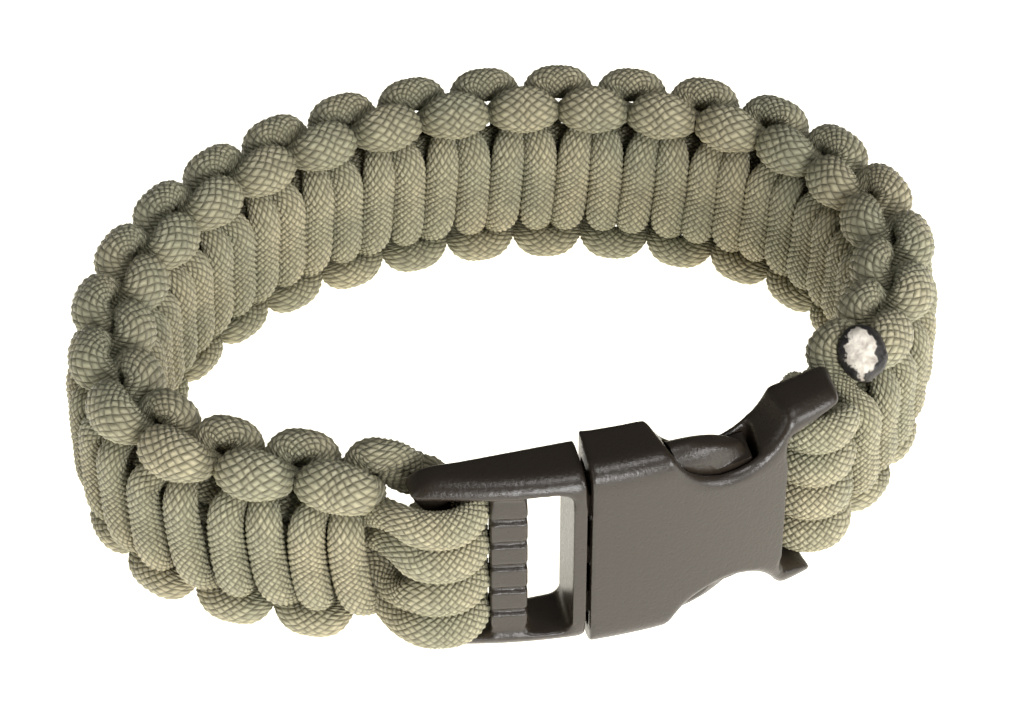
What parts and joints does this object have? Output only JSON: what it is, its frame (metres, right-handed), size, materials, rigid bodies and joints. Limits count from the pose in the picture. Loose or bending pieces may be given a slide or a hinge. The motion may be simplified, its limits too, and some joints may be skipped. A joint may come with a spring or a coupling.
{
  "type": "paracord bracelet with a side release buckle",
  "caption": "Survival bracelet woven in cobra knots from nylon cord round a looped core, fastened by a curved side release buckle, standing on its edge.",
  "frame": {"origin": "centre of the bracelet's bounding box, on the plane it stands on", "axes": "+Z along the axis of the wrist opening, up; +X along the loop's long way, with the buckle towards -Y"},
  "size_m": [0.091, 0.0732, 0.024],
  "materials": {
    "black_plastic": "moulded black acetal with a fine matt texture and glossier rounded edges",
    "olive_cord": "braided nylon sheath in olive, matt with a slight sheen",
    "melted_cord": "nylon melted to a smooth pale bead with a scorched rim"
  },
  "bodies": {
    "root": {"buckle_prong_half": "black_plastic", "buckle_socket_half": "black_plastic", "outer_working_cord": "olive_cord", "inner_working_cord": "olive_cord", "core_strand_1": "olive_cord", "core_strand_2": "olive_cord", "core_strand_3": "olive_cord", "core_strand_4": "olive_cord", "melted_tip_upper": "melted_cord", "melted_tip_lower": "melted_cord"}
  },
  "joints": []
}
